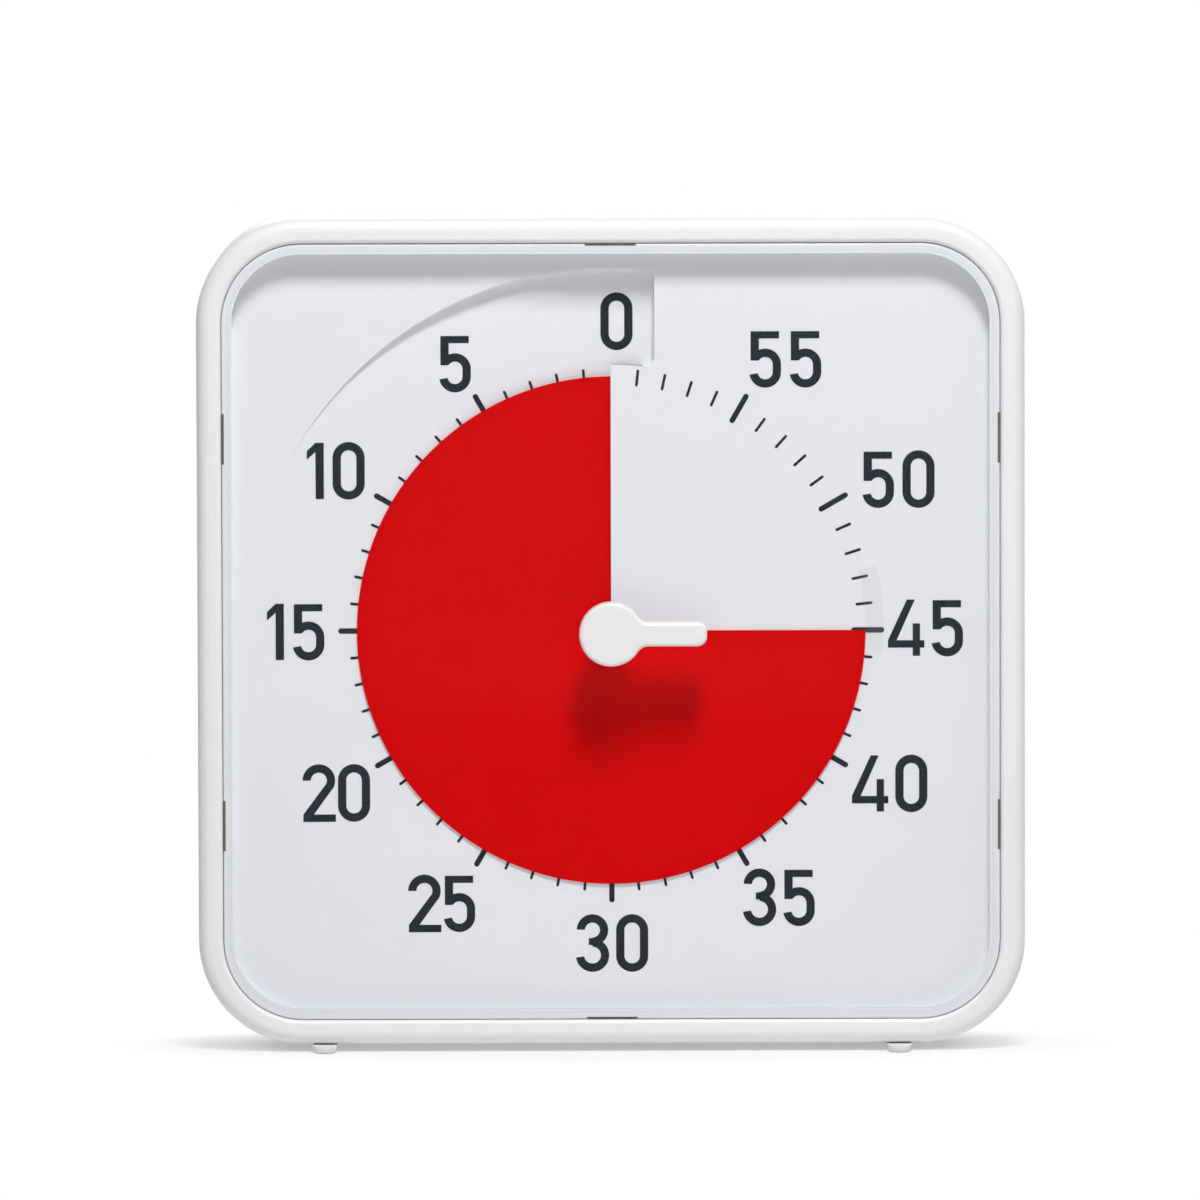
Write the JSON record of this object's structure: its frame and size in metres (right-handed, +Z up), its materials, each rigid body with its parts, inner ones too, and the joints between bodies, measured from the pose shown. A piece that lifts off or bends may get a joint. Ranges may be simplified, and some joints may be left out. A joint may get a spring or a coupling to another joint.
{
  "type": "visual countdown timer",
  "caption": "Square countdown timer whose coloured disc shrinks to show the time left, with a centre knob, clear lens, swivel feet and a back battery bay.",
  "frame": {"origin": "on the floor, under the middle of the whole timer", "axes": "+Z up, the dial faces -Y, +X to the right of someone facing the dial"},
  "size_m": [0.1906, 0.0505, 0.1922],
  "materials": {
    "case_plastic": "fine satin moulded white, front edges rounded",
    "cover_plastic": "finely textured moulded white",
    "lens_plastic": "polished clear plastic",
    "dial_plastic": "smooth matt white with printed numbers and marks",
    "red_film": "translucent glossy red film",
    "clear_film": "clear film",
    "knob_plastic": "satin moulded white",
    "inner_plastic": "black moulded plastic",
    "gear_plastic": "natural moulded plastic",
    "panel_plastic": "plain moulded plastic",
    "foot_rubber": "white soft rubber-like plastic",
    "zinc_steel": "bright zinc plated steel",
    "tin_plate": "tinned spring steel",
    "copper_wire": "enamelled copper winding",
    "brass_metal": "turned brass",
    "board_green": "solder-masked circuit board",
    "battery_jacket": "plain dark jacket"
  },
  "bodies": {
    "case": {"case_frame": "case_plastic", "lens": "lens_plastic", "dial_face": "dial_plastic", "dial_sheet": "dial_plastic", "dial_panel": "panel_plastic", "rear_cover": "cover_plastic", "battery": "battery_jacket", "positive_contact": "tin_plate", "negative_contact": "tin_plate", "movement_housing": "inner_plastic", "movement_cover": "inner_plastic", "movement_screws": "zinc_steel", "stator": "zinc_steel", "coil_bobbin": "gear_plastic", "coil_winding": "copper_wire", "circuit_board": "board_green", "quartz_crystal": "zinc_steel", "driver_chip": "inner_plastic", "switch_body": "inner_plastic", "sounder": "inner_plastic", "case_screws": "zinc_steel", "magnets": "zinc_steel"},
    "dial": {"knob": "knob_plastic", "dial_shaft": "brass_metal", "shaft_clip": "tin_plate"},
    "disc": {"red_disc": "red_film", "guide_tab": "clear_film", "disc_hub": "knob_plastic"},
    "left_foot": {"left_foot": "foot_rubber", "left_foot_screw": "zinc_steel"},
    "right_foot": {"right_foot": "foot_rubber", "right_foot_screw": "zinc_steel"},
    "battery_door": {"battery_door": "cover_plastic"},
    "alert_switch": {"alert_slider": "inner_plastic"},
    "drive_wheel": {"centre_wheel": "brass_metal", "clutch_spring": "tin_plate"},
    "third_wheel": {"third_wheel": "gear_plastic"},
    "second_wheel": {"second_wheel": "gear_plastic"},
    "first_wheel": {"first_wheel": "gear_plastic"},
    "motor_rotor": {"rotor": "gear_plastic"}
  },
  "joints": [
    {"name": "dial_spin", "type": "hinge", "parent": "case", "child": "dial", "pos_m": [0, 0, 0.097], "axis": [0, -1, 0], "range_deg": [-270, 90]},
    {"name": "disc_feed", "type": "slide", "parent": "dial", "child": "disc", "axis": [0, -1, 0], "range_m": [-0.00113, 0.00038]},
    {"name": "left_foot_swivel", "type": "hinge", "parent": "case", "child": "left_foot", "pos_m": [-0.0662, 0.00225, 0.001], "axis": [0, 0, 1], "range_deg": [0, 90]},
    {"name": "right_foot_swivel", "type": "hinge", "parent": "case", "child": "right_foot", "pos_m": [0.0662, 0.00225, 0.001], "axis": [0, 0, -1], "range_deg": [0, 90]},
    {"name": "battery_door_slide", "type": "slide", "parent": "case", "child": "battery_door", "axis": [0, 0, -1], "range_m": [0, 0.022]},
    {"name": "alert_slide", "type": "slide", "parent": "case", "child": "alert_switch", "axis": [1, 0, 0], "range_m": [0, 0.003]},
    {"name": "rotor_spin", "type": "hinge", "parent": "case", "child": "motor_rotor", "pos_m": [0.01448, 0, 0.10608], "axis": [0, -1, 0], "continuous": true},
    {"name": "first_wheel_spin", "type": "hinge", "parent": "case", "child": "first_wheel", "pos_m": [0.00561, 0, 0.10764], "axis": [0, -1, 0], "continuous": true},
    {"name": "second_wheel_spin", "type": "hinge", "parent": "case", "child": "second_wheel", "pos_m": [-0.00425, 0, 0.11123], "axis": [0, -1, 0], "continuous": true},
    {"name": "third_wheel_spin", "type": "hinge", "parent": "case", "child": "third_wheel", "pos_m": [-0.00935, 0, 0.1024], "axis": [0, -1, 0], "continuous": true},
    {"name": "drive_wheel_spin", "type": "hinge", "parent": "case", "child": "drive_wheel", "pos_m": [0, 0, 0.097], "axis": [0, -1, 0], "continuous": true}
  ],
  "couplings": [
    {"joint": "disc_feed", "follows": "dial_spin", "m_per_rad": 0.00023873},
    {"joint": "first_wheel_spin", "follows": "rotor_spin", "ratio": -0.2},
    {"joint": "second_wheel_spin", "follows": "rotor_spin", "ratio": 0.033333},
    {"joint": "third_wheel_spin", "follows": "rotor_spin", "ratio": -0.0044444},
    {"joint": "drive_wheel_spin", "follows": "rotor_spin", "ratio": 0.00055556}
  ]
}
